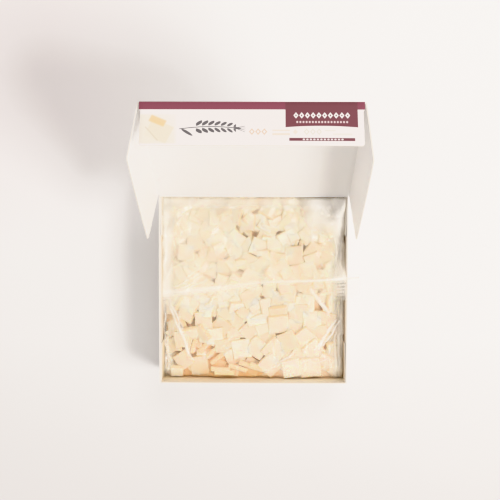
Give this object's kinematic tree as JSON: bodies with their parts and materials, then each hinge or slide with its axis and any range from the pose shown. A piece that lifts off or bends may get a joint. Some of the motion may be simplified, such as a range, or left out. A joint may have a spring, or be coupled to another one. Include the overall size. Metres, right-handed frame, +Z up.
{
  "type": "communion bread in a carton",
  "caption": "Clear sealed bag of small flat bread squares in a square paperboard carton with a hinged, flapped lid.",
  "frame": {"origin": "centre of the carton's underside", "axes": "+Z up, +Y towards the lid's hinge at the back, +X to the right seen from the front"},
  "size_m": [0.1351, 0.1801, 0.1732],
  "materials": {
    "carton_board": "satin",
    "printed_board": "satin",
    "bread": "matte"
  },
  "bodies": {
    "base": {"base_tray": "carton_board", "bread_bag": "bread"},
    "lid": {"lid_panel": "carton_board"},
    "flap": {"front_flap": "printed_board"},
    "left_ear": {"ear_left": "carton_board"},
    "right_ear": {"ear_right": "carton_board"}
  },
  "joints": [
    {"name": "lid_hinge", "type": "hinge", "parent": "base", "child": "lid", "pos_m": [0, 0.0625, 0.0483], "axis": [-1, 0, 0], "range_deg": [-115.9, 64.1]},
    {"name": "flap_crease", "type": "hinge", "parent": "lid", "child": "flap", "pos_m": [0, 0.11723, 0.16101], "axis": [-1, 0, 0], "range_deg": [0, 90]},
    {"name": "left_ear_crease", "type": "hinge", "parent": "lid", "child": "left_ear", "pos_m": [-0.0628, 0.0625, 0.0483], "axis": [0, -0.4368, -0.8996], "range_deg": [-8.6, 81.4]},
    {"name": "right_ear_crease", "type": "hinge", "parent": "lid", "child": "right_ear", "pos_m": [0.0628, 0.0625, 0.0483], "axis": [0, 0.4368, 0.8996], "range_deg": [-5.9, 84.1]}
  ]
}
